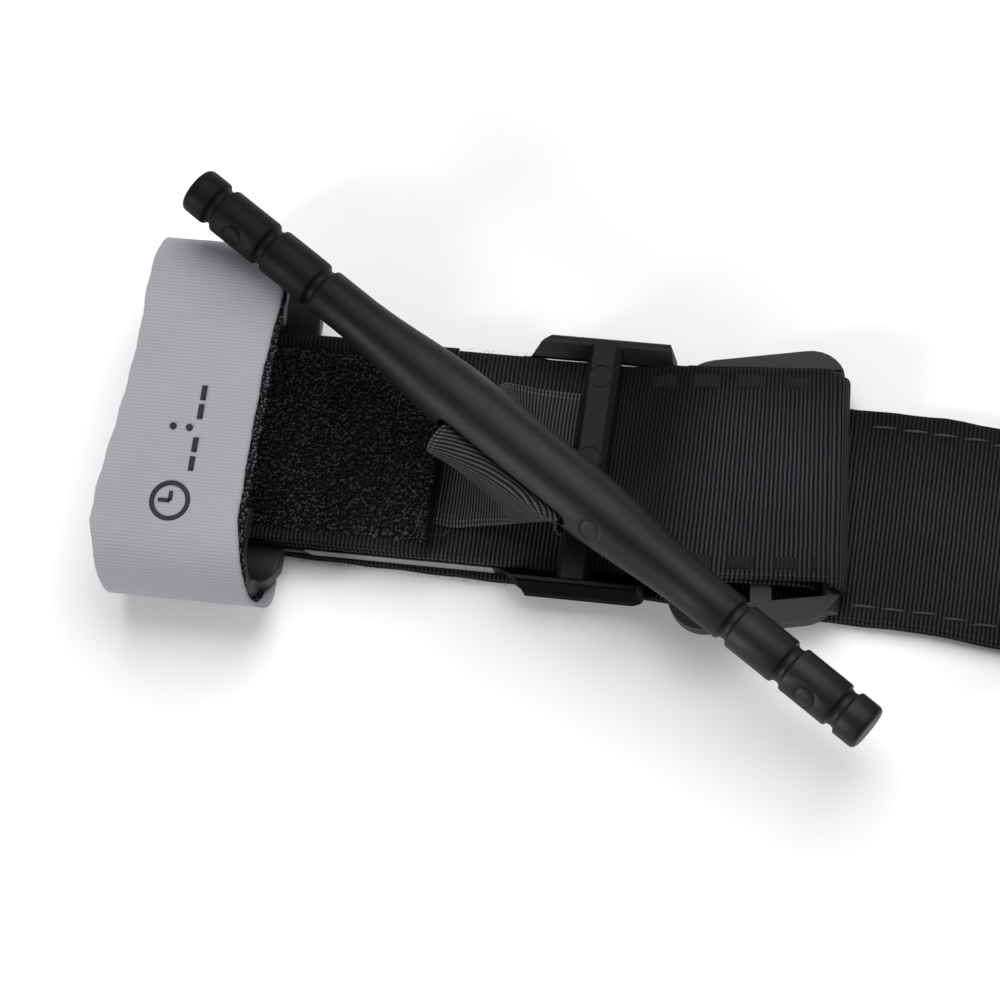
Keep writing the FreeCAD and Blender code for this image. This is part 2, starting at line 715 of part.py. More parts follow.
# teeth along the middle bar, on the side that meets the band
for i in range(9):
    y = shift - 16.0 + 4.0 * i
    tooth = [(-13.4, y - 1.1), (-13.4, y + 1.1), (-14.6, y)]
    s = outline(buckle, "tooth_outline_%d" % i, "XY_Plane", tooth, low + 0.6)
    pad(buckle, "tooth_%d" % i, s, thick - 1.2)
buckle.Placement = FreeCAD.Placement(vec(bx, 0, 0),
                                     FreeCAD.Rotation(vec(0, 0, 1), val("buckle_yaw")))
node(buckle)

# ---------------------------------------------------------------- weld marks and stitching
top_z = loop_high + TAPE / 2
for label, y_mid, xs in (("far", 16.5, (28.1, 36.3, 44.2)),
                         ("near", -14.9, (30.9, 38.1, 45.7))):
    blocks = []
    for x in xs:
        blocks.append(Part.makeBox(5.0, 2.7, 0.2, vec(x - 2.5, y_mid - 1.35, top_z)))
    node(fixed("loop_weld_" + label, Part.makeCompound(blocks)))

for label, y_mid in (("far", 15.9), ("near", -15.9)):
    threads = []
    for i in range(6):
        x = 60.0 + 5.2 * i
        y = y_mid + drift(x + 2.0)
        threads.append(Part.makeBox(4.0, 0.5, 0.25, vec(x, y - 0.25, 2 * TAPE)))
    node(fixed("tail_stitch_" + label, Part.makeCompound(threads)))

# ---------------------------------------------------------------- checks and export
doc.recompute()
for obj in doc.Objects:
    if "Invalid" in obj.State or "Error" in obj.State:
        raise ValueError("%s is in a bad state: %s" % (obj.Name, obj.State))
os.makedirs("parts", exist_ok=True)
for part in NODES:
    shape = part.Shape
    if shape.isNull() or not shape.isValid() or shape.Volume <= 0:
        raise ValueError("%s has no valid solid" % part.Label)
    shape.exportStep("parts/%s.step" % part.Label)
    b = shape.BoundBox
    print("%-22s %d solids  %8.1f mm3  X %.1f..%.1f  Y %.1f..%.1f  Z %.2f..%.2f" % (
        part.Label, len(shape.Solids), shape.Volume,
        b.XMin, b.XMax, b.YMin, b.YMax, b.ZMin, b.ZMax))
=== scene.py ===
import math
import random

import bpy
import numpy as np
from mathutils import Matrix, Quaternion, Vector


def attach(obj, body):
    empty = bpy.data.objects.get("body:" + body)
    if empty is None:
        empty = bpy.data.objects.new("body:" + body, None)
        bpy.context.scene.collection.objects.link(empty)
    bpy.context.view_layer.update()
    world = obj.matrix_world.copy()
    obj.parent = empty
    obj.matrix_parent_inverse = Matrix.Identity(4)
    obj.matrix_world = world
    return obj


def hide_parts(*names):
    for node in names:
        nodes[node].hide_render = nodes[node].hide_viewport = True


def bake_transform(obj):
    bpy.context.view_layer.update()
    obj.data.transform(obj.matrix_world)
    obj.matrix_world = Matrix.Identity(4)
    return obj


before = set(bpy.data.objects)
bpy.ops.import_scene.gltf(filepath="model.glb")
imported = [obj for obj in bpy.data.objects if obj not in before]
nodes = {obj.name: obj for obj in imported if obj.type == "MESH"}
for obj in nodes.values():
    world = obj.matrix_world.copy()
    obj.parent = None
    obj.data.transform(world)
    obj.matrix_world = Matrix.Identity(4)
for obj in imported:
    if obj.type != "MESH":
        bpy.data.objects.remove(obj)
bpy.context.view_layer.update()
MM = 0.001
rng = random.Random(7)


def V(*a):
    """A vector in millimetres."""
    return np.array(a, float)


def unit(v):
    """The vector's direction."""
    v = np.asarray(v, float)
    return v / max(np.linalg.norm(v), 1e-12)


# ------------------------------------------------------------------ materials
class Shader:
    """A small helper for building node materials."""

    def __init__(self, name):
        self.mat = bpy.data.materials.new(name)
        self.mat.use_nodes = True
        self.tree = self.mat.node_tree
        self.out = self.tree.nodes["Principled BSDF"]

    def node(self, kind, ins=(), **props):
        n = self.tree.nodes.new(kind)
        for k, v in props.items():
            setattr(n, k, v)
        for k, v in dict(ins).items():
            self.put(n.inputs[k], v)
        return n

    def put(self, socket, value):
        if isinstance(value, bpy.types.NodeSocket):
            self.tree.links.new(value, socket)
        else:
            socket.default_value = value

    def math(self, op, a, b=0.0, c=None, clamp=False):
        ins = {0: a, 1: b}
        if c is not None:
            ins[2] = c
        return self.node("ShaderNodeMath", ins, operation=op, use_clamp=clamp).outputs[0]

    def times(self, *factors):
        """Product of two or more values, from left to right."""
        out = factors[0]
        for factor in factors[1:]:
            out = self.math("MULTIPLY", out, factor)
        return out

    def fade(self, value, amount):
        """1 where value is 0, and 1 - amount where it is 1."""
        return self.math("MULTIPLY_ADD", value, -amount, 1.0)

    def mix(self, fac, a, b):
        n = self.node("ShaderNodeMix", data_type="RGBA")
        self.put(n.inputs[0], fac)
        for i, v in ((6, a), (7, b)):
            self.put(n.inputs[i], (*v, 1.0) if isinstance(v, tuple) else v)
        return n.outputs[2]

    def blend(self, fac, a, b):
        n = self.node("ShaderNodeMix", data_type="FLOAT")
        for i, v in ((0, fac), (2, a), (3, b)):
            self.put(n.inputs[i], v)
        return n.outputs[0]

    def span(self, v, a, b, c=0.0, d=1.0):
        """A smooth step from c at a to d at b."""
        n = self.node("ShaderNodeMapRange", {0: v, 1: a, 2: b, 3: c, 4: d}, clamp=True,
                      interpolation_type="SMOOTHSTEP")
        return n.outputs[0]

    def noise(self, vec, scale, detail=2.0, rough=0.5):
        n = self.node("ShaderNodeTexNoise",
                      {"Scale": scale, "Detail": detail, "Roughness": rough},
                      noise_dimensions="3D")
        self.put(n.inputs["Vector"], vec)
        return n.outputs[0]

    def lay(self):
        """Place on the cloth in millimetres: along, across."""
        n = self.node("ShaderNodeAttribute", attribute_name="lay")
        s = self.node("ShaderNodeSeparateXYZ", {0: n.outputs["Vector"]})
        return s.outputs[0], s.outputs[1]

    def attr(self, name):
        """A value that the mesh carries at its points."""
        return self.node("ShaderNodeAttribute", attribute_name=name).outputs["Fac"]

    def place(self):
        """Place on the object in millimetres."""
        n = self.node("ShaderNodeTexCoord")
        m = self.node("ShaderNodeVectorMath", {0: n.outputs["Object"]}, operation="SCALE")
        m.inputs[3].default_value = 1000.0
        return m.outputs[0]

    def vec(self, x, y, z=0.0):
        return self.node("ShaderNodeCombineXYZ", {0: x, 1: y, 2: z}).outputs[0]

    def wave(self, x, pitch, phase=0.0):
        """0..1 ridge with a given pitch."""
        a = self.math("MULTIPLY_ADD", x, 2 * math.pi / pitch, phase)
        return self.math("MULTIPLY_ADD", self.math("COSINE", a), 0.5, 0.5)

    def finish(self, color, rough, height, far, strength=1.0, sheen=0.0, spec=0.5):
        """Colour, roughness, and relief from a height that is far metres at 1."""
        self.put(self.out.inputs["Base Color"],
                 (*color, 1.0) if isinstance(color, tuple) else color)
        self.put(self.out.inputs["Roughness"], rough)
        self.put(self.out.inputs["Specular IOR Level"], spec)
        if sheen:
            self.put(self.out.inputs["Sheen Weight"], sheen)
            self.put(self.out.inputs["Sheen Roughness"], 0.35)
        bump = self.node("ShaderNodeBump", {"Strength": strength, "Distance": far, "Height": height})
        self.put(self.out.inputs["Normal"], bump.outputs[0])
        return self.mat


def srgb(r, g, b):
    """Linear colour from screen values of 0 to 255."""
    return tuple(((c / 255 + 0.055) / 1.055) ** 2.4 if c > 10 else c / 255 / 12.92
                 for c in (r, g, b))


WEB_PITCH = 0.755                # distance between the webbing's ribs
# BLACK is also the darkest end of the painted rib shade on the woven tapes
BLACK = srgb(2, 2, 3)            # the gaps between ribs
# lengths along a tape between which shade is painted on it
TAIL_SHADE = (262, 300)
UNDER_PLATE = (140, 150, 268, 282)
CLIP_SHADE = (50, 58)


def woven(name, pitch, light, bead=0.45, far=0.00022, half=19.0, edge=0.8, mouth_shade=None, bare=None):
    """Ribbed narrow fabric: ribs run across the tape, each made of small beads.

    Four lengths along the tape may be given, between which painted shade darkens the loop's mouth.
    bare is the length up to which a patch of pile hides the ribs.
    """
    m = Shader(name)
    s, t = m.lay()
    slow = m.noise(m.vec(m.times(s, 0.12), m.times(t, 0.2)), 1.0, 2.0)
    s2 = m.math("MULTIPLY_ADD", slow, 0.28, s)
    ridge = m.wave(s2, pitch)
    row = m.math("FLOOR", m.math("DIVIDE", s2, pitch))
    shift = m.times(m.math("MODULO", row, 2.0), math.pi)
    jitter = m.noise(m.vec(m.times(s, 0.7), m.times(t, 1.4)), 1.0, 1.0)
    beads = m.wave(t, bead, m.math("MULTIPLY_ADD", jitter, 1.6, shift))
    fibre = m.noise(m.vec(m.times(s, 6.0), m.times(t, 2.2)), 1.0, 2.0, 0.7)
    body = m.times(m.math("POWER", ridge, 0.75), m.math("MULTIPLY_ADD", beads, 0.46, 0.56))
    rim = m.math("ABSOLUTE", t)
    at_edge = m.span(rim, half - edge - 0.25, half - edge + 0.1)
    cord = m.wave(rim, 0.8, 1.2)
    selvedge = m.times(m.math("POWER", ridge, 0.6), m.math("MULTIPLY_ADD", cord, 0.45, 0.6))
    height = m.blend(at_edge, body, selvedge)
    height = m.math("MULTIPLY_ADD", fibre, 0.22, height)
    # the tone follows the ribs' height: painted shade in the grooves and a painted highlight on the rib
    # tops, with fibre and patchy tone as well
    tone = m.math("MULTIPLY", m.math("POWER", height, 2.3),
                  m.math("MULTIPLY_ADD", fibre, 0.7, 0.55), clamp=True)
    patchy = m.noise(m.vec(m.times(s, 0.05), m.times(t, 0.09), 3.0), 1.0, 3.0)
    tone = m.math("MULTIPLY", tone, m.math("MULTIPLY_ADD", patchy, 0.5, 0.75), clamp=True)
    if mouth_shade:
        tone = shaded_lining(m, tone, s, t, half, mouth_shade)
    if bare:
        tone = pile_base(m, tone, s, t, bare)
    rough = m.blend(ridge, 0.87, m.math("MULTIPLY_ADD", fibre, 0.2, 0.52))
    return m.finish(m.mix(tone, BLACK, light), rough, height, far, 1.0, 0.03, 0.14)


def shaded_lining(m, tone, s, t, half, mouth_shade):
    """Painted shade under the plate, on the tail and in the loop's mouth; the cloth is also darker
    along both selvedges.
    """
    side = m.math("POWER", m.math("DIVIDE", m.math("ABSOLUTE", t), half), 2.0)
    side = m.times(side, m.blend(m.span(t, -1.0, 1.0), -0.35, -0.8))
    # painted shade on the tail, on the stretch under the plate and in the loop's mouth
    tail = m.span(s, *TAIL_SHADE, 1.0, 0.72)
    under_plate = m.times(m.span(s, *UNDER_PLATE[:2]), m.span(s, *UNDER_PLATE[2:], 1.0, 0.0))
    mouth = m.times(m.span(s, *mouth_shade[:2]), m.span(s, *mouth_shade[2:], 1.0, 0.0))
    return m.times(tone, m.math("ADD", side, 1.0), tail, m.fade(under_plate, 0.65), m.fade(mouth, 0.78))


def pile_base(m, tone, s, t, bare):
    """Nearly black cloth under the pile, painted shade on the selvedge beside it, deeper on the far
    side, and painted shade from the fold under the clip on.
    """
    beside = m.span(s, bare - 1, bare + 1, 1.0, 0.0)
    shade = m.times(beside, m.blend(m.span(t, -4.0, 4.0), 0.4, 0.7))
    under = m.times(m.span(s, bare - 0.3, bare + 0.3, 1.0, 0.0),
                    m.span(m.math("ABSOLUTE", t), 16.6, 17.0, 1.0, 0.0))
    # painted shade on the selvedge beside the pile and from the fold on
    return m.times(tone, m.fade(under, 0.93), m.span(s, *CLIP_SHADE, 1.0, 0.3), m.fade(shade, 1.0))


def moulded(name, base, rough, grain=0.00002, scale=9.0, spec=0.16, detail=None, soften=0.0):
    """Moulded plastic: fine grain, faint scuffs, uneven gloss. detail may change the mix."""
    m = Shader(name)
    p = m.place()
    fine = m.noise(p, scale, 3.0, 0.6)
    soft = m.noise(p, 0.16, 2.0, 0.5)
    streaks = m.node("ShaderNodeMapping", {0: p, 2: (0.4, 0.2, 0.9), 3: (0.25, 3.0, 3.0)}).outputs[0]
    scuff = m.span(m.noise(streaks, 1.0, 3.0, 0.65), 0.60, 0.78)
    height = m.math("MULTIPLY_ADD", scuff, -0.35, fine)
    light = tuple(min(c * 1.5 + 0.004, 1) for c in base)
    dark = tuple(c * 0.82 for c in base)
    color = m.mix(m.math("MULTIPLY_ADD", scuff, 0.45, m.times(soft, 0.45)), dark, light)
    if detail:
        color, height, spec = detail(m, p, color, height, spec)
    gloss = m.math("MULTIPLY_ADD", soft, 0.16, rough - 0.08)
    gloss = m.math("MULTIPLY_ADD", scuff, 0.12, m.math("MULTIPLY_ADD", fine, 0.08, gloss), clamp=True)
    m.finish(color, gloss, height, grain, 1.0, 0.0, spec)
    if soften:
        smooth = m.node("ShaderNodeBevel", {"Radius": soften * MM}, samples=6)
        m.put(m.out.inputs["Normal"].links[0].from_node.inputs["Normal"], smooth.outputs[0])
    return m.mat


EAR_WALL = 19.5                  # the ears start this far from the middle
# the plate's bright lower lip is a painted highlight
LIP_END = -4.9                   # right end of the plate's bright lower lip


def tool_marks_and_painted_light(m, p, color, height, spec):
    """Tool marks on the ears, painted light on the far ear's inner wall, painted shade on the near
    ear's walls and a painted highlight along the plate's near lower lip.
    """
    xyz = m.node("ShaderNodeSeparateXYZ", {0: p}).outputs
    normal = m.node("ShaderNodeNewGeometry").outputs["True Normal"]
    face = m.node("ShaderNodeSeparateXYZ", {0: normal}).outputs
    upright = m.span(m.math("ABSOLUTE", face[1]), 0.35, 0.6)
    on_ear = m.span(m.math("ABSOLUTE", xyz[1]), EAR_WALL - 0.1, EAR_WALL + 0.1)
    lines = m.wave(m.math("ADD", xyz[0], m.times(xyz[2], 0.5)), 0.55)
    lines = m.times(lines, upright, on_ear)
    height = m.math("MULTIPLY_ADD", lines, 3.0, height)
    # painted light on the far ear's inner wall
    inner = m.times(m.span(xyz[1], EAR_WALL - 0.1, EAR_WALL + 0.1), m.span(face[1], -0.4, -0.7))
    color = m.mix(m.times(inner, m.math("MULTIPLY_ADD", lines, 0.4, 0.6)), color, srgb(84, 85, 90))
    # painted shade on the near ear's walls, with less shine
    outer = m.times(m.span(xyz[1], -EAR_WALL + 0.1, -EAR_WALL - 0.1), upright)
    color = m.mix(outer, color, srgb(3, 3, 4))
    # painted highlight along the plate's near lower lip
    lip = m.times(m.span(xyz[1], -19.15, -19.25), m.span(xyz[0], LIP_END + 0.3, LIP_END - 0.3))
    color = m.mix(m.times(lip, 0.8), color, srgb(150, 150, 154))
    return color, height, m.math("MULTIPLY_ADD", outer, -0.14, spec)


def matt_end(m, p, color, height, spec):
    """Less shine towards the end over the clip."""
    x = m.node("ShaderNodeSeparateXYZ", {0: p}).outputs[0]
    return color, height, m.times(m.span(x, -56.0, 10.0, 0.28, 1.0), spec)


def pressed_cloth():
    """Ribs flattened under a weld."""
    m = Shader("pressed_weld")
    p = m.place()
    n = m.noise(p, 3.0, 3.0, 0.6)
    x = m.node("ShaderNodeSeparateXYZ", {0: p}).outputs[0]
    ribs = m.wave(x, WEB_PITCH)
    tone = m.math("MULTIPLY_ADD", ribs, 0.3, m.math("MULTIPLY", n, 0.4), clamp=True)
    return m.finish(m.mix(tone, BLACK, srgb(44, 41, 46)), m.math("MULTIPLY_ADD", n, 0.3, 0.5),
                    m.math("MULTIPLY_ADD", ribs, 0.5, n), 0.00006, 1.0, 0.0, 0.12)


def thread():
    """Twisted black thread."""
    m = Shader("black_thread")
    p = m.place()
    n = m.noise(p, 5.0, 3.0, 0.6)
    xyz = m.node("ShaderNodeSeparateXYZ", {0: p})
    twist = m.wave(m.math("ADD", xyz.outputs[0], xyz.outputs[1]), 0.55)
    tone = m.math("MULTIPLY", m.math("MULTIPLY_ADD", twist, 0.5, 0.5), n, clamp=True)
    tone = m.math("MULTIPLY", tone, m.attr("tone"), clamp=True)
    color = m.mix(m.math("MULTIPLY", tone, 1.6, clamp=True), srgb(5, 5, 6), srgb(66, 63, 68))
    return m.finish(color, m.math("MULTIPLY_ADD", n, 0.3, 0.45),
                    m.math("MULTIPLY_ADD", twist, 0.5, n), 0.00005, 1.0, 0.2, 0.4)


def grey_weave():
    """Fine pale ribs on elastic tape, with a brighter selvedge."""
    m = Shader("grey_elastic_weave")
    s, t = m.lay()
    slow = m.noise(m.vec(m.math("MULTIPLY", s, 0.15), m.math("MULTIPLY", t, 0.12)), 1.0, 2.0)
    s2 = m.math("MULTIPLY_ADD", slow, 0.35, s)
    ridge = m.wave(s2, 0.615)
    fibre = m.noise(m.vec(m.math("MULTIPLY", s, 5.0), m.math("MULTIPLY", t, 1.6)), 1.0, 3.0, 0.7)
    cross = m.wave(t, 0.5, m.math("MULTIPLY", fibre, 3.0))
    height = m.math("MULTIPLY", m.math("POWER", ridge, 0.8), m.math("MULTIPLY_ADD", cross, 0.5, 0.5))
    height = m.math("MULTIPLY_ADD", fibre, 0.3, height)
    cloud = m.noise(m.vec(m.math("MULTIPLY", s, 0.06), m.math("MULTIPLY", t, 0.05), 5.0), 1.0, 3.0)
    tone = m.math("MULTIPLY_ADD", cloud, 0.45, m.math("MULTIPLY", height, 0.45), clamp=True)
    color = m.mix(tone, srgb(138, 138, 144), srgb(168, 168, 175))
    edge = m.span(m.math("ABSOLUTE", t), 12.2, 13.1)
    color = m.mix(m.math("MULTIPLY", edge, 0.5), color, srgb(150, 150, 158))
    return m.finish(color, 0.85, height, 0.00003, 0.9, 0.05, 0.2)


def hooks():
    """Hook tape: pale hook tips on a black ground."""
    m = Shader("hook_tape")
    s, t = m.lay()
    cell = m.node("ShaderNodeTexVoronoi", {"Scale": 1.6, "Randomness": 0.8},
                  voronoi_dimensions="2D", feature="F1")
    m.put(cell.inputs["Vector"], m.vec(s, t))
    pick = m.node("ShaderNodeSeparateColor", {0: cell.outputs["Color"]})
    dot = m.math("MULTIPLY", m.span(cell.outputs["Distance"], 0.46, 0.16),
                 m.math("POWER", pick.outputs[0], 0.8))
    n = m.noise(m.vec(s, t), 3.0, 3.0, 0.7)
    fleck = m.span(m.noise(m.vec(s, t, 4.0), 2.2, 2.0, 0.6), 0.68, 0.74)
    color = m.mix(m.math("MULTIPLY_ADD", n, 0.03, dot, clamp=True), srgb(3, 3, 4), srgb(108, 106, 110))
    color = m.mix(m.math("MULTIPLY", fleck, 0.5), color, srgb(120, 119, 124))
    return m.finish(color, m.math("MULTIPLY_ADD", n, 0.3, 0.45),
                    m.math("MULTIPLY_ADD", n, 0.3, dot), 0.0003, 1.0, 0.0, 0.06)


def pile():
    """Soft black loops."""
    m = Shader("loop_pile")
    p = m.place()
    n = m.noise(p, 4.0, 2.0, 0.6)
    tone = m.math("MULTIPLY", m.attr("tone"), m.math("MULTIPLY_ADD", n, 0.9, 0.5), clamp=True)
    color = m.mix(tone, srgb(2, 2, 3), srgb(73, 69, 75))
    return m.finish(color, m.math("MULTIPLY_ADD", n, 0.3, 0.45), n, 0.00002, 0.6, 0.03, 0.3)


def print_ink():
    """Dull dark print."""
    m = Shader("dark_print")
    p = m.place()
    n = m.noise(p, 6.0, 3.0, 0.7)
    color = m.mix(n, srgb(26, 26, 30), srgb(52, 52, 58))
    return m.finish(color, m.math("MULTIPLY_ADD", n, 0.2, 0.6), n, 0.00002, 1.0, 0.1, 0.3)


MAT = {
    # the lining's painted shade in the loop's mouth lies from 53 to 80 mm along it
    "lining": woven("lining_weave", WEB_PITCH, srgb(83, 78, 85), mouth_shade=(53, 67, 76, 80)),
    "face": woven("face_weave", 0.76, srgb(66, 62, 68), bare=44.7),
    "ribbon": woven("ribbon_weave", 0.64, srgb(88, 84, 90), bead=0.5, far=0.00013, half=12.5, edge=1.2),
    "plate": moulded("plate_plastic", srgb(16, 16, 18), 0.50, detail=tool_marks_and_painted_light),
    "clip": moulded("clip_plastic", srgb(28, 28, 30), 0.42, spec=0.3, soften=1.2),
    "rod": moulded("rod_plastic_matte", srgb(14, 14, 16), 0.44, grain=0.000012, scale=12.0,
                   spec=0.24, detail=matt_end),
    "buckle": moulded("buckle_plastic", srgb(45, 45, 47), 0.45),
    "thread": thread(),
    "weld": pressed_cloth(),
    "grey": grey_weave(),
    "hook": hooks(),
    "pile": pile(),
    "ink": print_ink(),
}


# ------------------------------------------------------------------ mesh tools
def make(name, verts, faces, mat, body, lay=None, tone=None):
    """A mesh object from millimetre points."""
    mesh = bpy.data.meshes.new(name)
    pts = np.asarray(verts, float) * MM
    mesh.from_pydata(pts.tolist(), [], [list(f) for f in faces])
    mesh.validate()
    mesh.polygons.foreach_set("use_smooth", [True] * len(mesh.polygons))
    if lay is not None:
        a = mesh.attributes.new("lay", "FLOAT_VECTOR", "POINT")
        a.data.foreach_set("vector", np.asarray(lay, np.float32).ravel())
    if tone is None:
        tone = np.ones(len(pts))
    a = mesh.attributes.new("tone", "FLOAT", "POINT")
    a.data.foreach_set("value", np.asarray(tone, np.float32))
    mesh.materials.append(MAT[mat])
    mesh.update()
    obj = bpy.data.objects.new(name, mesh)
    bpy.context.scene.collection.objects.link(obj)
    if body:
        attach(obj, body)
    return obj


def tape(name, stations, width, thick, mat, body, cols=22, low=None, high=None,
         wave=0.05, lump=0.06, seed=1.0):
    """A woven tape. Stations are (centre, across, normal); low and high move the edges.

    wave is how far the selvedges wander, and lump is how uneven the cloth lies.
    """
    centre = np.array([c for c, a, n in stations], float)
    across = np.array([unit(a) for c, a, n in stations])
    normal = np.array([unit(n) for c, a, n in stations])
    step = np.linalg.norm(np.diff(centre, axis=0), axis=1)
    along = np.concatenate([[0], np.cumsum(step)])
    half = width / 2
    r = thick / 2
    flat = np.linspace(-half + r, half - r, cols)
    ring = [(u, r, u) for u in flat]
    for k in range(1, 4):
        a = math.pi / 2 - math.pi * k / 4
        ring.append((half - r + r * math.cos(a), r * math.sin(a), half))
    ring += [(u, -r, u) for u in flat[::-1]]
    for k in range(1, 4):
        a = -math.pi / 2 - math.pi * k / 4
        ring.append((-half + r + r * math.cos(a), r * math.sin(a), -half))
    ring = np.array(ring)
    n_ring = len(ring)
    verts, lays = [], []
    for i in range(len(centre)):
        s = along[i]
        lo = (low(s, centre[i]) if low else 0.0) + wave * math.sin(s * 3.1 + seed)
        hi = (high(s, centre[i]) if high else 0.0) + wave * math.sin(s * 2.7 + 2.0 + seed)
        share = (ring[:, 0] + half) / width
        u = ring[:, 0] + lo * (1 - share) + hi * share
        uneven = lump * (np.sin(s * 0.31 + u * 0.22 + seed) * np.sin(s * 0.13 - u * 0.4 + 2 * seed))
        h = ring[:, 1] + uneven
        verts.append(centre[i] + np.outer(u, across[i]) + np.outer(h, normal[i]))
        lays.append(np.stack([np.full(n_ring, s), ring[:, 2], ring[:, 1]], 1))
    verts = np.concatenate(verts)
    lays = np.concatenate(lays)
    faces = []
    for i in range(len(centre) - 1):
        a, b = i * n_ring, (i + 1) * n_ring
        for k in range(n_ring):
            k2 = (k + 1) % n_ring
            faces.append((a + k, b + k, b + k2, a + k2))
    last = (len(centre) - 1) * n_ring
    faces.append(list(range(n_ring)))
    faces.append([last + k for k in reversed(range(n_ring))])
    return make(name, verts, faces, mat, body, lays)


def tube(points, radius, sides, close=True):
    """Vertices and faces of a thin tube along points."""
    pts = np.asarray(points, float)
    verts, faces = [], []
    up = V(0, 0, 1)
    for i in range(len(pts)):
        d = unit(pts[min(i + 1, len(pts) - 1)] - pts[max(i - 1, 0)])
        x = np.cross(d, up)
        if np.linalg.norm(x) < 0.05:
            x = np.cross(d, V(1, 0, 0))
        x = unit(x)
        y = np.cross(d, x)
        r = radius[i] if hasattr(radius, "__len__") else radius
        for k in range(sides):
            a = 2 * math.pi * k / sides
            verts.append(pts[i] + r * (math.cos(a) * x + math.sin(a) * y))
    for i in range(len(pts) - 1):
        for k in range(sides):
            k2 = (k + 1) % sides
            a, b = i * sides, (i + 1) * sides
            faces.append((a + k, a + k2, b + k2, b + k))
    if close:
        faces.append(list(reversed(range(sides))))
        faces.append([(len(pts) - 1) * sides + k for k in range(sides)])
    return verts, faces


class Heap:
    """Many small meshes gathered into one object."""

    def __init__(self):
        self.v, self.f, self.t = [], [], []

    def add(self, verts, faces, tone=1.0):
        base = len(self.v)
        self.v += [tuple(p) for p in verts]
        self.f += [[base + i for i in f] for f in faces]
        self.t += [tone] * len(verts)

    def build(self, name, mat, body):
        return make(name, self.v, self.f, mat, body, tone=self.t)


def arc(cx, cy, r, a0, a1, steps):
    """Points of an arc; angles in degrees."""
    return [(cx + r * math.cos(math.radians(a0 + (a1 - a0) * i / steps)),
             cy + r * math.sin(math.radians(a0 + (a1 - a0) * i / steps)))
            for i in range(steps + 1)]


def resample(path, step):
    """The same path with evenly spaced points."""
    path = np.asarray(path, float)
    d = np.concatenate([[0], np.cumsum(np.linalg.norm(np.diff(path, axis=0), axis=1))])
    n = max(int(round(d[-1] / step)), 2)
    t = np.linspace(0, d[-1], n + 1)
    return np.stack([np.interp(t, d, path[:, k]) for k in range(path.shape[1])], 1)


def soften(path, passes):
    """Rounds the corners of an evenly spaced path."""
    p = path.copy()
    for _ in range(passes):
        p[1:-1] = (p[:-2] + 2 * p[1:-1] + p[2:]) / 4
    return p


def thin_out(path, turn, far):
    """Keeps one point for each turn in degrees and each stretch of the path."""
    keep = [0]
    heading = None
    for i in range(1, len(path) - 1):
        d = unit(path[i + 1] - path[i - 1])
        if heading is None:
            heading = d
        bent = math.degrees(math.acos(np.clip(np.dot(d, heading), -1, 1)))
        if bent > turn or np.linalg.norm(path[i] - path[keep[-1]]) > far:
            keep.append(i)
            heading = d
    keep.append(len(path) - 1)
    return path[keep]


# ------------------------------------------------------------------ band: lining and face
TAPE = 1.2                       # thickness of a tape
BAND = 38.0                      # width of the band
SEAM = 6.4                       # height of the tape that lies on the plate
BAR_X, BAR_Z = 51.6, 5.4         # the buckle's round bar
YAW = math.radians(6.0)          # turn of the end loop in plan
SHIFT = 1.2                      # the end loop lies this far to the far side
LEFT = -68.9                     # fold of the band at the plate's left end
TAIL_NEAR, TAIL_FAR = 92.0, 190.0   # both ends of the folded tail
PLIES = 5                        # plies of the folded tail above the lowest run


def drift(x):
    """Y of the lower run and the tail, which wander to the near side."""
    return float(np.interp(x, [LEFT, 50, 70, 82, 88, 400], [0, -2.8, -3.1, -4.5, -5, -5]))


def lower_run(side):
    """Centre line of a tape from the left fold on; side is +1 lining, -1 face."""
    o = side * TAPE / 2
    mid = (SEAM - TAPE) / 2
    pts = [(LEFT + 2.0, SEAM - o)] + arc(LEFT - 0.5, SEAM - mid, mid - o, 90, 270, 16)
    z = TAPE
    pts += [(-40.0, z + o), (88.0, z + o)]
    fold = 1.5
    right, left = TAIL_FAR - fold - TAPE, TAIL_NEAR + fold + TAPE
    for k in range(PLIES):
        if k % 2 == 0:
            pts += [(right, z + o)] + arc(right, z + fold, fold - o, -90, 90, 10)
        else:
            pts += [(left, z - o)] + arc(left, z + fold, fold + o, 270, 90, 10)
        z += 2 * fold
    pts.append((left + 4.0, z - o))
    return pts


def in_plan(path, upper_end):
    """Stations for a tape in the XZ plane, with the loop's yaw and the tail's drift."""
    out = []
    n = len(path)
    for i in range(n):
        x, z = path[i]
        dx, dz = path[min(i + 1, n - 1)] - path[max(i - 1, 0)]
        t = unit(V(dx, 0, dz))
        if i < upper_end:
            towards_bar = min(max((x - 24.0) / (BAR_X - 26.0), 0.0), 1.0)
            above_run = min(max((z - 2.5) / 0.5, 0), 1)
            share = towards_bar * above_run
            across = V(-math.tan(YAW) * share, 1.0, 0.0)
            y = SHIFT * share
            if z > 9.0:
                y += 0.5 * share
        else:
            across = V(0, 1.0, 0)
            y = drift(x)
        nrm = np.cross(unit(across), t)
        out.append((V(x, y, z), across, -nrm))
    return out


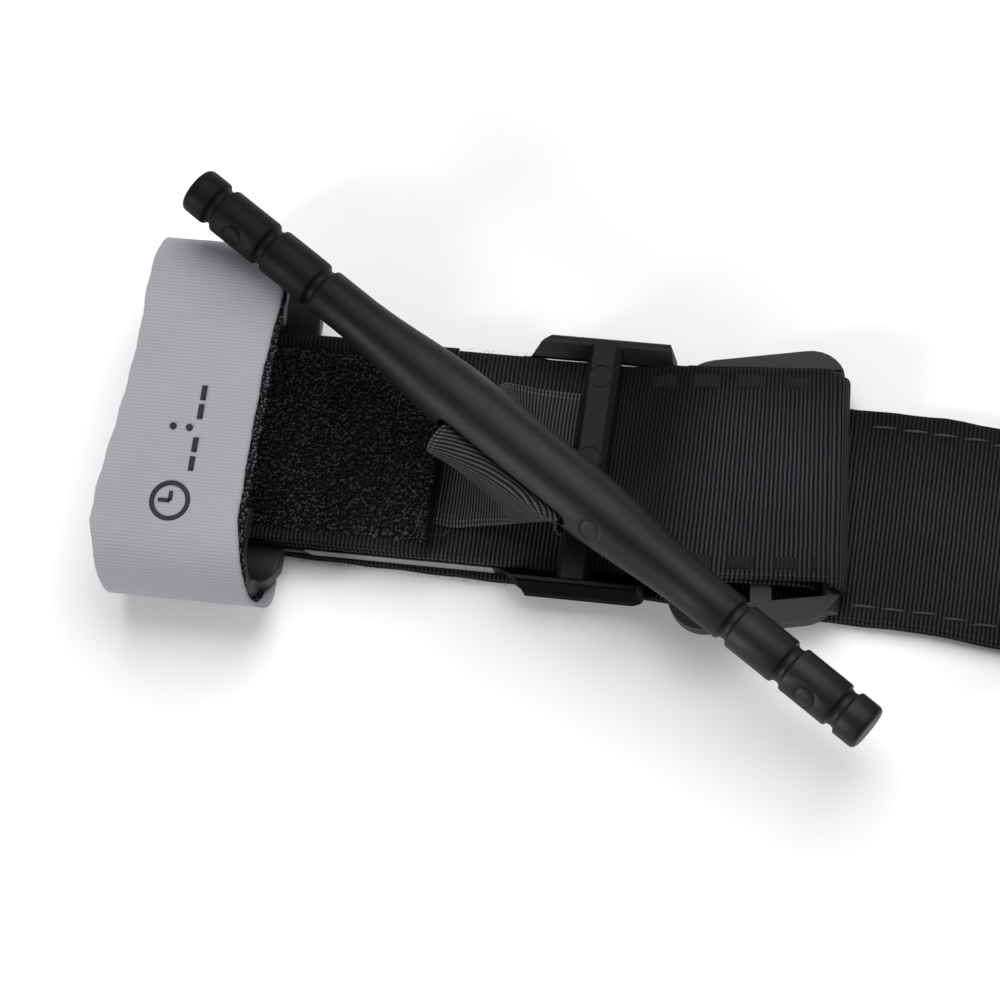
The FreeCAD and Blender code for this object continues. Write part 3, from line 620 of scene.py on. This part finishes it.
# the end loop, from its lower ply round the buckle's bar to its upper ply, measured from the bar
loop_low = SEAM + 0.9 + TAPE / 2
loop_high = loop_low + TAPE + 0.02
wrap = 1.4 + 0.15 + TAPE / 2
end = [(-26.0, loop_low), (-7.5, loop_low), (-5.0, loop_low - 0.3), (-3.5, loop_low - 1.1)]
end += arc(0, BAR_Z, wrap, 172, 388, 24)
end += [(1.45, BAR_Z + 2.3), (0.7, loop_high - 0.35), (-0.6, loop_high), (-3.5, loop_high)]
end += [(-26.4, loop_high), (-28.2, loop_high - 0.35), (-32.5, loop_high - 1.7)]
end += [(-36.4, SEAM - TAPE / 2 + 0.35), (-38.4, SEAM - TAPE / 2)]
end = [(BAR_X + x, z) for x, z in end]
loop_part = soften(resample(end, 0.5), 2)
run_part = soften(resample([(12.9, SEAM - TAPE / 2)] + lower_run(1), 0.5), 2)
loop_thin = thin_out(loop_part, 5.0, 1.6)
run_thin = thin_out(run_part, 5.0, 2.5)
lining_path = np.concatenate([loop_thin, run_thin[1:]])
split = len(loop_thin) + int(np.argmax(run_thin[:, 0] < LEFT + 1.0)) + 6
lining = tape("band_lining_cloth", in_plan(lining_path, split), BAND, TAPE, "lining",
              "base", cols=26, wave=0.07, lump=0.05)
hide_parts("band_lining")

PATCH_END = -16.0                # right end of the face tape on the plate
FACE_BEND = -61.0                # the face tape dips to the fold from here
face_top = SEAM + 0.8 + 0.05 + TAPE / 2
face_pts = [(PATCH_END, face_top), (FACE_BEND, face_top), (-65.2, SEAM + TAPE / 2)] + lower_run(-1)
face_path = soften(resample(face_pts, 0.5), 2)
face_thin = thin_out(face_path, 5.0, 2.5)
split = int(np.argmax(face_thin[:, 0] < LEFT + 1.0)) + 6
face = tape("band_face_cloth", in_plan(face_thin, split), BAND, TAPE, "face", "base",
            cols=26, wave=0.07, lump=0.04, seed=2.0)
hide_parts("band_face")

# tail end tab
tab = tape("tail_end_tab_cloth", [(V(x, drift(x), 17.7), V(0, 1, 0), V(0, 0, 1))
                                  for x in np.linspace(98, 120, 12)], 38.0, 0.6, "lining",
           "base")
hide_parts("tail_end_tab")


# loop pile on top of the face patch
def loop(c, size, lean, turn):
    """Centre line of one small pile loop, an arch standing on the cloth."""
    pts = []
    for k in range(6):
        a = math.pi * k / 5
        pts.append(V(-math.cos(a) * size * 0.5, 0, math.sin(a) * size * 0.75))
    q = Quaternion((0, 0, 1), turn) @ Quaternion((1, 0, 0), lean)
    return [V(*(q @ Vector(p))) + c for p in pts]


PILE_LEFT, PILE_HALF = -60.6, 16.7
PILE_PITCH = 0.7
heap = Heap()
top = face_top + TAPE / 2
for i in range(int((PATCH_END - PILE_LEFT) / PILE_PITCH)):
    for j in range(int(2 * PILE_HALF / PILE_PITCH)):
        x = PILE_LEFT + i * PILE_PITCH + rng.gauss(0, 0.16)
        y = -PILE_HALF + (j + 0.5 * (i % 2)) * PILE_PITCH + rng.gauss(0, 0.16)
        if x > PATCH_END - 0.4 + 0.5 * math.sin(y) or abs(y) > PILE_HALF + 0.2:
            continue
        z = top - 0.08 - max(FACE_BEND - x, 0)
        pts = loop(V(x, y, z), rng.uniform(0.35, 0.62), rng.gauss(0, 0.5), rng.gauss(0.5, 0.6))
        v, f = tube(pts, rng.uniform(0.12, 0.17), 4, close=False)
        heap.add(v, f, rng.uniform(0.15, 1.0) ** 2.0)
heap.build("face_pile_loops", "pile", "base")

# ------------------------------------------------------------------ inner strap
PIVOT = (1.1, -3.0, 21.65)       # middle of the rod
LEAN, TURN = math.radians(7), math.radians(-32.2)
ROD = Matrix.Translation(PIVOT) @ (
    Quaternion((0, 1, 0), LEAN) @ Quaternion((0, 0, 1), TURN)
).to_matrix().to_4x4()


def rod(s, p, q):
    """A point given along, across and above the rod's middle."""
    v = ROD @ Vector((s, p, q))
    return V(v.x, v.y, v.z)


MID = SEAM + 0.4                 # the ribbon's centre where it lies on the band
HALF = 12.5                      # half of the ribbon's width
SLOT_MID = -0.6                  # the ribbon's middle along the rod
FAR_EDGE = SLOT_MID - HALF


def flat(x, y, z, angle):
    """Edges of the ribbon where it lies on the band: far side first."""
    a = math.radians(angle)
    w = V(math.cos(a), math.sin(a), 0) * HALF
    return V(x, y, z) + w, V(x, y, z) - w


def slant(p_far, q_far, p_near, q_near):
    """Edges of the ribbon in the rod's frame, where it goes through the slot."""
    return rod(FAR_EDGE, p_far, q_far), rod(SLOT_MID + HALF, p_near, q_near)


# each row is the ribbon's far edge and near edge, from the clip side to the plate's crossbar
keys = [
    flat(-60, 0, MID, 90), flat(-40, 0, MID, 90), flat(-24, 0, MID, 90), flat(-17.0, 0, MID, 90),
    (V(-15.0, 12.4, MID + 0.1), V(-13.6, -12.9, MID + 0.15)),
    (V(-14.2, 12.0, MID + 0.6), V(-11.2, -12.9, 7.4)),
    (V(-13.6, 11.2, MID + 1.6), V(-8.2, -12.7, 8.6)),
    (V(-12.8, 10.0, MID + 3.2), V(-5.1, -12.7, 10.2)),
    (V(-12.1, 8.2, MID + 5.2), V(-2.1, -12.8, 12.0)),
    (rod(FAR_EDGE, -7.2, -6.2), V(0.5, -12.9, 14.0)), (rod(FAR_EDGE, -8.4, -4.6), V(2.9, -13.1, 16.0)),
    (rod(FAR_EDGE, -9.4, -2.8), V(4.8, -13.4, 17.8)), (rod(FAR_EDGE, -9.7, -0.8), V(6.5, -13.6, 19.4)),
    (rod(FAR_EDGE, -9.0, 0.9), rod(11.3, -6.2, 0.3)), (rod(FAR_EDGE, -7.9, 1.8), rod(11.7, -6.2, 1.3)),
    slant(-6.6, 1.85, -5.9, 1.6), slant(-5.2, 1.4, -5.2, 1.4), slant(-2.6, 0.7, -2.6, 0.7),
    slant(0, 0, 0, 0), slant(2.6, -0.7, 2.6, -0.7), slant(5.2, -1.4, 5.2, -1.4),
    slant(5.8, -1.9, 5.8, -1.9), slant(5.8, -3.0, 5.8, -3.0), slant(5.2, -4.4, 5.2, -4.4),
    slant(4.8, -6.2, 4.6, -6.2),
    (V(-6.2, 11.2, MID + 6.2), V(10.2, -5.4, MID + 5.6)),
    (V(-5.6, 12.0, MID + 4.2), V(6.8, -8.8, MID + 4.2)),
    (V(-3.4, 12.3, MID + 2.4), V(5.8, -11.3, MID + 2.0)),
    (V(0.4, 12.4, MID + 0.9), V(5.9, -12.3, MID + 0.6)),
    flat(7.0, 0, MID + 0.03, 90), flat(9.6, 0, MID, 90), flat(12.4, 0, MID, 90),
]


def spline(keys, step):
    """Rows of edge pairs along a smooth curve through the keys."""
    data = np.array([np.concatenate(k) for k in keys])
    out = []
    for i in range(len(data) - 1):
        p0 = data[max(i - 1, 0)]
        p1, p2 = data[i], data[i + 1]
        p3 = data[min(i + 2, len(data) - 1)]
        gap = max(np.linalg.norm(p2[:3] - p1[:3]), np.linalg.norm(p2[3:] - p1[3:]))
        n = max(int(gap / step), 1)
        for k in range(n):
            t = k / n
            out.append(0.5 * ((2 * p1) + (p2 - p0) * t + (2 * p0 - 5 * p1 + 4 * p2 - p3) * t * t
                              + (3 * p1 - p0 - 3 * p2 + p3) * t ** 3))
    out.append(data[-1])
    return np.array(out)


def two_rail(name, rows, thick, mat):
    """A ribbon between two edge curves, with rounded selvedges."""
    cols = 20
    far, near = rows[:, :3], rows[:, 3:]
    n = len(rows)
    u = np.linspace(0, 1, cols)
    grid = far[:, None, :] * (1 - u[None, :, None]) + near[:, None, :] * u[None, :, None]
    ds = np.linalg.norm(np.diff(grid, axis=0), axis=2)
    arc_len = np.concatenate([np.zeros((1, cols)), np.cumsum(ds, axis=0)])
    arc_mid = arc_len[:, cols // 2]
    # inside the rod's slot the ribs are evened out, so that they stay square on both legs
    high = np.nonzero(grid[:, cols // 2, 2] > 17.0)[0]
    w = np.clip(((np.arange(n) - high[0]) / (high[-1] - high[0]) - 0.42) / 0.4, 0, 1)[:, None]
    along = arc_len - (arc_len[-1] - arc_mid[-1])[None, :] * w * w * (3 - 2 * w)
    d_s = np.gradient(grid, axis=0)
    d_u = np.gradient(grid, axis=1)
    nrm = np.cross(d_s, d_u)
    nrm /= np.maximum(np.linalg.norm(nrm, axis=2, keepdims=True), 1e-9)
    r = thick / 2
    verts, lays = [], []
    for i in range(n):
        side = unit(near[i] - far[i])
        ring, lay = [], []
        for k in range(cols):
            ring.append(grid[i, k] + nrm[i, k] * r)
            lay.append((along[i, k], (u[k] - 0.5) * 2 * HALF, r))
        for a in (45, 0, -45):
            a = math.radians(a)
            ring.append(grid[i, -1] + side * r * math.cos(a) + nrm[i, -1] * r * math.sin(a))
            lay.append((along[i, -1], HALF, 0))
        for k in reversed(range(cols)):
            ring.append(grid[i, k] - nrm[i, k] * r)
            lay.append((along[i, k], (u[k] - 0.5) * 2 * HALF, -r))
        for a in (-45, 0, 45):
            a = math.radians(a)
            ring.append(grid[i, 0] - side * r * math.cos(a) + nrm[i, 0] * r * math.sin(a))
            lay.append((along[i, 0], -HALF, 0))
        verts += ring
        lays += lay
    m = 2 * cols + 6
    faces = []
    for i in range(n - 1):
        for k in range(m):
            k2 = (k + 1) % m
            faces.append((i * m + k, i * m + k2, (i + 1) * m + k2, (i + 1) * m + k))
    faces.append(list(reversed(range(m))))
    faces.append([(n - 1) * m + k for k in range(m)])
    return make(name, verts, faces, mat, None, lays)


ribbon = two_rail("inner_strap_cloth", spline(keys, 0.6), 0.8, "ribbon")
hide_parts("inner_strap_left", "inner_strap_right", "inner_strap_fold")
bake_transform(ribbon)

# ------------------------------------------------------------------ grey strap and hook tape
AY, AZ = 21.4, 12.2              # axis of each hooked arm
FAR_END = -42                    # both cloths start here on the far arm, in degrees


def over_arms(r, near_end):
    """Centre line over both arms in the YZ plane, far side first."""
    pts = []
    for k in range(41):
        a = FAR_END + (90 - FAR_END) * k / 40
        pts += arc(AY, AZ, r + 1.1 * math.exp(-((a - 36) / 30) ** 2), a, a, 1)[:1]
    sag = 0.15
    pts += [(AY - (2 * AY) * k / 24, AZ + r - sag * math.sin(math.pi * k / 24))
            for k in range(1, 24)]
    pts += [(-y, z) for y, z in arc(AY, AZ, r, 90, near_end, 44)]
    return soften(resample(pts, 0.8), 2)


def strap_stations(path, x_mid):
    """Stations along a path over the arms, with normals that point away from them."""
    out = []
    for i in range(len(path)):
        y, z = path[i]
        dy, dz = path[min(i + 1, len(path) - 1)] - path[max(i - 1, 0)]
        n = np.cross(V(1, 0, 0), unit(V(0, dy, dz)))
        outward = V(0, y - math.copysign(min(abs(y), AY), y), z - AZ)
        out.append((V(x_mid, y, z), V(1, 0, 0), n if np.dot(n, outward) > 0 else -n))
    return out


def strap_left(_, c):
    """How far the left edge of the cloth over the clip moves at a centre point c."""
    base = np.interp(c[1], [-32, -28, -22, -17, -11, -4, 4, 12, 21, 30],
                     [2.0, 1.2, 0.2, 0.2, 0.8, 1.7, 2.5, 3.0, 2.9, 3.3])
    return float(base) + 0.1 * math.sin(c[1] * 0.9)


def strap_right(_, c):
    """The same for the grey strap's right edge."""
    y = c[1]
    base = np.interp(y, [-32, -27, -20, -6, 8, 21, 32], [1.9, 1.0, -0.3, -0.5, -0.3, 0.9, 1.0])
    low = np.interp(c[2], [4, 9, 14], [2.3, 1.7, 0.0]) if y < 0 else 0.0
    return float(base + low) + 0.06 * math.sin(y * 0.75)


def tape_right(_, c):
    """The same for the hook backing's right edge."""
    y = c[1]
    base = np.interp(y, [-32, -27, -20, -6, 8, 21, 32], [0.8, 0.4, -0.2, -0.2, 0.0, 0.3, 0.3])
    return float(base) + 0.18 * math.sin(y * 1.3)


# arm, hook patch, gap, backing and half of the strap
R_STRAP = 8.7 + 0.5 + 0.05 + 0.6 + 0.3
strap = tape("grey_time_strap", strap_stations(over_arms(R_STRAP, -72), -59.1), 26.4, 0.6,
             "grey", None, cols=34, low=strap_left, high=strap_right,
             wave=0.04, lump=0.05)
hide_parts("strap_anchor", "time_strap")
backing = tape("hook_backing_cloth", strap_stations(over_arms(R_STRAP - 0.6, -58), -58.55),
               27.5, 0.58, "hook", None, cols=34, low=strap_left, high=tape_right,
               wave=0.06, lump=0.05)
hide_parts("strap_anchor_backing", "time_strap_backing")
for piece in (strap, backing):
    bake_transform(piece)

for label, sign in (("far", 1), ("near", -1)):
    path = resample([(sign * y, z) for y, z in arc(AY, AZ, 8.97, 10, 104, 30)], 0.6)
    st = []
    for y, z in path:
        n = unit(V(0, y - sign * AY, z - AZ))
        st.append((V(-57.0, y, z), V(1, 0, 0), n))
    patch = tape("hook_patch_" + label, st, 23.6, 0.44, "hook", "base", cols=26, wave=0.02,
                 lump=0.0)
    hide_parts("clip_hook_" + label)


# ------------------------------------------------------------------ threads, welds, marking
def stitch(a, b):
    """One visible stitch: a thread that dips into the cloth at both ends."""
    lift, r = 0.28, 0.24
    a, b = np.asarray(a, float), np.asarray(b, float)
    pts = []
    for k in range(7):
        t = k / 6
        h = lift * math.sin(math.pi * t) ** 0.5 - 0.22
        pts.append(a + (b - a) * t + V(0, 0, h))
    return tube(pts, [r * (0.75 + 0.25 * math.sin(math.pi * k / 6)) for k in range(7)], 6)


for label, y_mid in (("far", 15.9), ("near", -15.9)):
    heap = Heap()
    x = 56.8
    while x < 97:
        y = y_mid + drift(x + 2) + rng.gauss(0, 0.08)
        v, f = stitch((x, y, 2.46), (x + 4.3, y + rng.gauss(0, 0.1), 2.46))
        heap.add(v, f, rng.uniform(0.6, 1.0))
        x += 5.2
    o = heap.build("tail_thread_" + label, "thread", "base")
    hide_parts("tail_stitch_" + label)

heap = Heap()
for angle in (-12.0, -26.0):
    a = math.radians(angle)
    outward = V(0, math.cos(a), math.sin(a))
    for i in range(5):
        c = V(-72.3 + 3.2 + 5.0 * i, AY + (R_STRAP + 0.3) * math.cos(a),
              AZ + (R_STRAP + 0.3) * math.sin(a))
        pts = [c + V(3.6 * k / 6, 0, 0) + outward * (0.2 * math.sin(math.pi * k / 6) - 0.08)
               for k in range(7)]
        v, f = tube(pts, 0.2, 6)
        heap.add(v, f)
o = heap.build("anchor_thread", "thread", "base")
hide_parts("strap_anchor_stitch")


def pressed(cx, cy, z, lx, slope):
    """A weld dash: a low pillow pressed into the ply, with a shallow rim."""
    nx, ny = 10, 7
    ly, high, turn = 2.8, 0.24, math.radians(3.5)
    verts, faces = [], []
    for i in range(nx + 1):
        for j in range(ny + 1):
            u, v = 2 * i / nx - 1, 2 * j / ny - 1
            e = (1 - abs(u) ** 5) * (1 - abs(v) ** 4)
            h = high * max(e, 0) ** 0.5 - 0.12
            x, y = u * lx / 2, v * ly / 2
            verts.append(V(cx + x * math.cos(turn) - y * math.sin(turn),
                           cy + x * math.sin(turn) + y * math.cos(turn), z + h + slope * x))
    for i in range(nx):
        for j in range(ny):
            a = i * (ny + 1) + j
            faces.append((a, a + ny + 1, a + ny + 2, a + 1))
    n = len(verts)
    under = [v - V(0, 0, 0.3) for v in verts]
    faces += [tuple(n + k for k in reversed(f)) for f in faces]
    rim = [i * (ny + 1) for i in range(nx + 1)] + [nx * (ny + 1) + j for j in range(1, ny + 1)]
    rim += [i * (ny + 1) + ny for i in range(nx - 1, -1, -1)] + [j for j in range(ny - 1, 0, -1)]
    for a, b in zip(rim, rim[1:] + rim[:1]):
        faces.append((b, a, n + a, n + b))
    return verts + under, faces


# centre, height, length and slope of each dash; the last of each row lies past the loop's flat top
LOOP_TOP = 9.72
welds = {
    "far": ((28.1, 16.3, LOOP_TOP, 5.0, 0), (35.7, 16.8, LOOP_TOP, 5.2, 0),
            (43.8, 17.3, LOOP_TOP, 5.4, 0), (20.8, 15.9, 8.55, 5.0, 0.3)),
    "near": ((30.9, -15.7, LOOP_TOP, 5.2, 0), (38.1, -15.3, LOOP_TOP, 5.4, 0),
             (45.9, -14.7, LOOP_TOP, 5.0, 0), (51.6, -14.2, 9.45, 2.8, -0.3)),
}
for label, rows in welds.items():
    heap = Heap()
    for row in rows:
        heap.add(*pressed(*row))
    o = heap.build("pressed_welds_" + label, "weld", "base")
    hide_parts("loop_weld_" + label)


# stray threads at the patch's edge and fuzz along the band's selvedges
def curl(c, spread, n, r):
    """A curly thread of n short pieces that lies on the cloth."""
    pts = [np.asarray(c, float)]
    d = unit(V(rng.gauss(0, 1), rng.gauss(0, 1), rng.gauss(0, 0.2)))
    for _ in range(n):
        d = unit(d + 0.7 * V(rng.gauss(0, 1), rng.gauss(0, 1), rng.gauss(0, 0.25)))
        p = pts[-1] + d * spread
        p[2] = min(max(p[2], c[2] - 0.1), c[2] + 0.5)
        pts.append(p)
    return tube(soften(np.array(pts), 1), r, 4)


heap = Heap()
for k in range(12):
    x = rng.uniform(-19.0, -8.0)
    v, f = curl((x, -14.2 + rng.gauss(0, 0.7) + 0.12 * (x + 18), 6.9 if x > -16.4 else 8.6),
                0.5, rng.randint(3, 7), 0.07)
    heap.add(v, f, rng.uniform(0.5, 1.2))
for k in range(90):
    x = rng.uniform(-40.0, 4.0)
    side = -1 if k % 3 else 1
    on_lower_run = k % 2
    c = V(x, side * 18.95 + (drift(x) if on_lower_run else 0.0), 1.2 if on_lower_run else 6.2)
    pts = [c, c + V(rng.gauss(0, 0.25), side * 0.3, rng.gauss(0, 0.2)),
           c + V(rng.gauss(0, 0.45), side * rng.uniform(0.4, 0.8), rng.gauss(0, 0.3))]
    v, f = tube(pts, 0.028, 3)
    heap.add(v, f, rng.uniform(0.1, 0.5))
heap.build("loose_threads", "thread", "base")

# printed mark on the strap: a clock and blanks for the hour, drawn for this model
heap = Heap()
INK = AZ + R_STRAP + 0.3


def printed(outline, hole=None):
    """A thin printed shape; a ring if a second outline is given."""
    n = len(outline)
    points = outline + (hole or [])
    v = [V(x, y, INK + 0.035) for x, y in points] + [V(x, y, INK - 0.25) for x, y in points]
    if hole is None:
        f = [list(range(n)), [n + k for k in reversed(range(n))]]
        f += [(k, n + k, n + (k + 1) % n, (k + 1) % n) for k in range(n)]
    else:
        f = []
        for k in range(n):
            k2 = (k + 1) % n
            f.append((k, k2, n + k2, n + k))
            f.append((k, 2 * n + k, 2 * n + k2, k2))
            f.append((n + k, n + k2, 3 * n + k2, 3 * n + k))
    heap.add(v, f)


def bar(x0, y0, x1, y1, w):
    """A printed bar from one point to another."""
    d = unit(V(x1 - x0, y1 - y0))
    p = V(-d[1], d[0]) * w / 2
    a, b = V(x0, y0), V(x1, y1)
    printed([tuple(a - p), tuple(b - p), tuple(b + p), tuple(a + p)])


cx, cy = -58.6, -17.6
printed(arc(cx, cy, 3.6, 0, 352.5, 47), arc(cx, cy, 2.75, 0, 352.5, 47))
bar(cx, cy, cx - 2.1, cy, 0.7)
bar(cx, cy, cx, cy + 1.7, 0.7)
for y0 in (-12.0, -8.6, -2.6, 0.8):
    bar(-55.9, y0, -55.9, y0 + 2.6, 0.95)
for x in (-60.3, -57.4):
    printed(arc(x, -4.3, 0.62, 0, 345, 23))
heap.build("time_mark", "ink", "time_strap")

# ------------------------------------------------------------------ rigid parts
EDGE_WIDTHS = (("base_plate", "plate", 0.35), ("windlass_clip", "clip", 0.45),
               ("windlass_rod", "rod", 0.06), ("buckle", "buckle", 0.9))
for name, mat, width in EDGE_WIDTHS:
    o = nodes[name]
    o.data.materials.clear()
    o.data.materials.append(MAT[mat])
    weld = o.modifiers.new("weld", "WELD")
    weld.merge_threshold = 2e-6
    bevel = o.modifiers.new("bevel", "BEVEL")
    bevel.width = width * MM
    bevel.segments = 3
    bevel.limit_method = "ANGLE"
    bevel.angle_limit = math.radians(38)
    bevel.use_clamp_overlap = True
    bevel.harden_normals = True

# ------------------------------------------------------------------ floor, light, camera
bpy.ops.mesh.primitive_plane_add(size=6, location=(0, 0, -0.0004))
floor = bpy.context.object
floor.name = "floor"
m = Shader("pale_floor")
n = m.noise(m.place(), 0.02, 2.0)
m.finish(m.mix(n, (0.93, 0.93, 0.935), (0.96, 0.96, 0.962)), 0.9, n, 0.00005, 0.1)
floor.data.materials.append(m.mat)

world = bpy.data.worlds.new("studio")
bpy.context.scene.world = world
world.use_nodes = True
world.node_tree.nodes["Background"].inputs[0].default_value = (1, 1, 1, 1)
world.node_tree.nodes["Background"].inputs[1].default_value = 0.18


def area(name, where, aim, size, power, size_y=None):
    """A rectangular studio light; metres and watts."""
    data = bpy.data.lights.new(name, "AREA")
    data.shape = "RECTANGLE"
    data.size = size
    data.size_y = size_y or size
    data.energy = power
    o = bpy.data.objects.new(name, data)
    o.location = where
    o.rotation_euler = (Vector(aim) - Vector(where)).to_track_quat("-Z", "Y").to_euler()
    bpy.context.scene.collection.objects.link(o)


area("key", (0.10, 0.56, 0.92), (0, 0, 0), 0.95, 12.4, 1.1)
area("side", (-0.80, -0.64, 0.44), (0, 0, 0.02), 0.22, 7.5, 0.5)
area("fill", (0.85, 0.12, 0.60), (0, 0, 0), 0.5, 1.3)

# the camera looks down at the strap from the near right side, 0.68 m from the aim
AIM = (-4.772, -7.806, 8.0)
DISTANCE = 0.679248
LENS, SENSOR = 142.184, 36
az, el, roll = math.radians(36.366), math.radians(70.515), math.radians(-29.334)
back = Vector((math.sin(az) * math.cos(el), -math.cos(az) * math.cos(el), math.sin(el)))
right = (-back).cross(Vector((0, 0, 1))).normalized()
upv = right.cross(-back)
r_axis = math.cos(roll) * right + math.sin(roll) * upv
u_axis = -math.sin(roll) * right + math.cos(roll) * upv
place = Vector(AIM) * MM + back * DISTANCE
cam_data = bpy.data.cameras.new("camera")
cam_data.sensor_width = SENSOR
cam_data.lens = LENS
cam_data.clip_start, cam_data.clip_end = 0.05, 20
cam = bpy.data.objects.new("camera", cam_data)
bpy.context.scene.collection.objects.link(cam)
cam.matrix_world = Matrix((
    (r_axis.x, u_axis.x, back.x, place.x),
    (r_axis.y, u_axis.y, back.y, place.y),
    (r_axis.z, u_axis.z, back.z, place.z),
    (0, 0, 0, 1),
))
bpy.context.scene.camera = cam
bpy.context.scene.view_settings.view_transform = "Standard"
